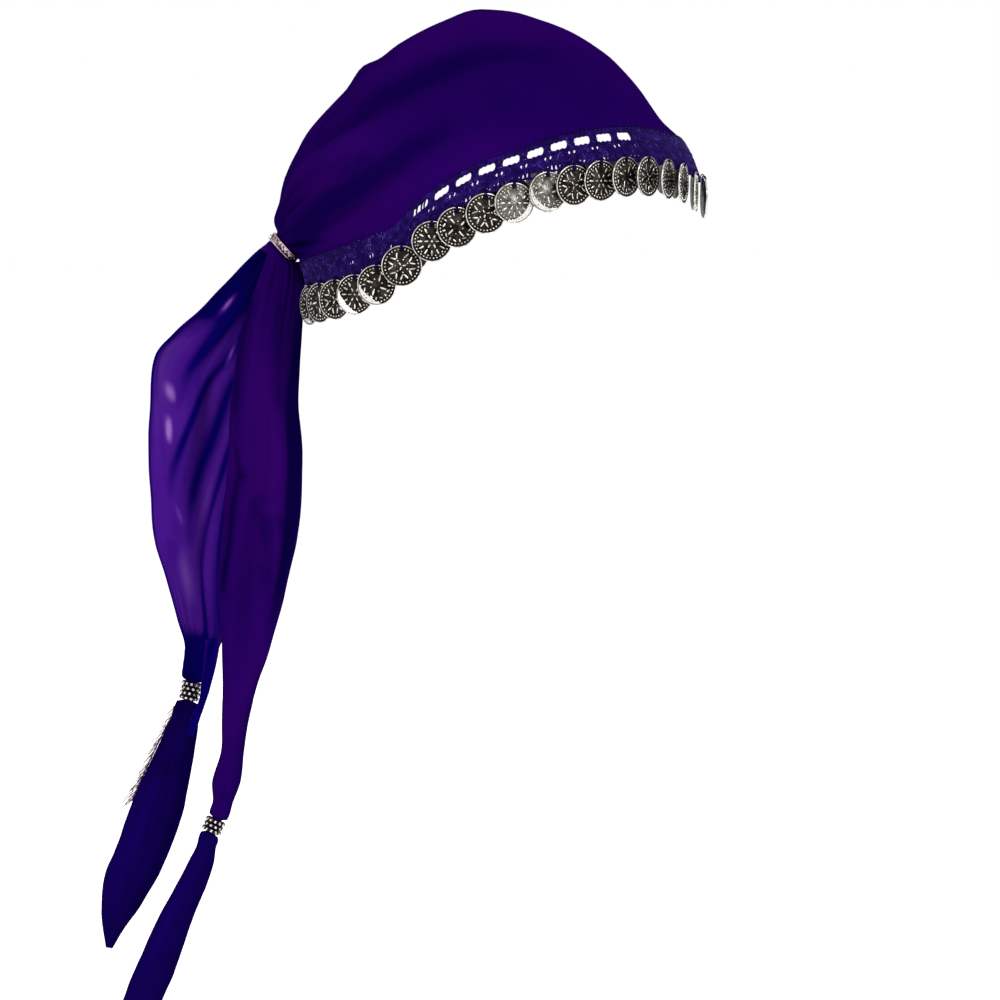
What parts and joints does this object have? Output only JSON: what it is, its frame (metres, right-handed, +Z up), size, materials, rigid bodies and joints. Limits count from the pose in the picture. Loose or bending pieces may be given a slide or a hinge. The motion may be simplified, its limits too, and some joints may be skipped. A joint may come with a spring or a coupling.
{
  "type": "coin headscarf",
  "caption": "Gathered headscarf in the form it has on a head: a coin-hung crochet band round its edge, a cinch ring low at the back, and hanging tails held by bead cuffs.",
  "frame": {"origin": "inner face of the crown at its highest point, where the head holds the scarf", "axes": "+X ahead of the wearer, +Y to the wearer's left, +Z up along the height from the tail ends to the crown"},
  "size_m": [0.2896, 0.166, 0.4929],
  "materials": {
    "cloth": "deep violet fine cloth with a soft sheen",
    "sheer_cloth": "the same violet cloth in one sheer layer",
    "crochet": "violet cotton crochet yarn, matt",
    "coin_metal": "antique silver with dark recesses",
    "ring_metal": "pinkish silver",
    "bead_metal": "small silver beads",
    "fringe": "pinkish metallic threads"
  },
  "bodies": {
    "root": {"crown": "cloth", "crochet_band_right": "crochet", "crochet_band_left": "crochet", "coin_right_01": "coin_metal", "coin_right_02": "coin_metal", "coin_right_03": "coin_metal", "coin_right_04": "coin_metal", "coin_right_05": "coin_metal", "coin_right_06": "coin_metal", "coin_right_07": "coin_metal", "coin_right_08": "coin_metal", "coin_right_09": "coin_metal", "coin_right_10": "coin_metal", "coin_right_11": "coin_metal", "coin_right_12": "coin_metal", "coin_right_13": "coin_metal", "coin_right_14": "coin_metal", "coin_right_15": "coin_metal", "coin_right_16": "coin_metal", "coin_right_17": "coin_metal", "coin_right_18": "coin_metal", "coin_right_19": "coin_metal", "coin_left_01": "coin_metal", "coin_left_02": "coin_metal", "coin_left_03": "coin_metal", "coin_left_04": "coin_metal", "coin_left_05": "coin_metal", "coin_left_06": "coin_metal", "coin_left_07": "coin_metal", "coin_left_08": "coin_metal", "coin_left_09": "coin_metal", "coin_left_10": "coin_metal", "coin_left_11": "coin_metal", "coin_left_12": "coin_metal", "coin_left_13": "coin_metal", "coin_left_14": "coin_metal", "coin_left_15": "coin_metal", "coin_left_16": "coin_metal", "coin_left_17": "coin_metal", "coin_left_18": "coin_metal", "coin_left_19": "coin_metal", "cinch_ring": "ring_metal", "tail_right": "cloth", "tail_left": "sheer_cloth", "cuff_right": "bead_metal", "cuff_left": "bead_metal", "tail_end_right": "cloth", "tail_end_left": "cloth", "fringe_left": "fringe", "tail_edge_left": "sheer_cloth"}
  },
  "joints": []
}
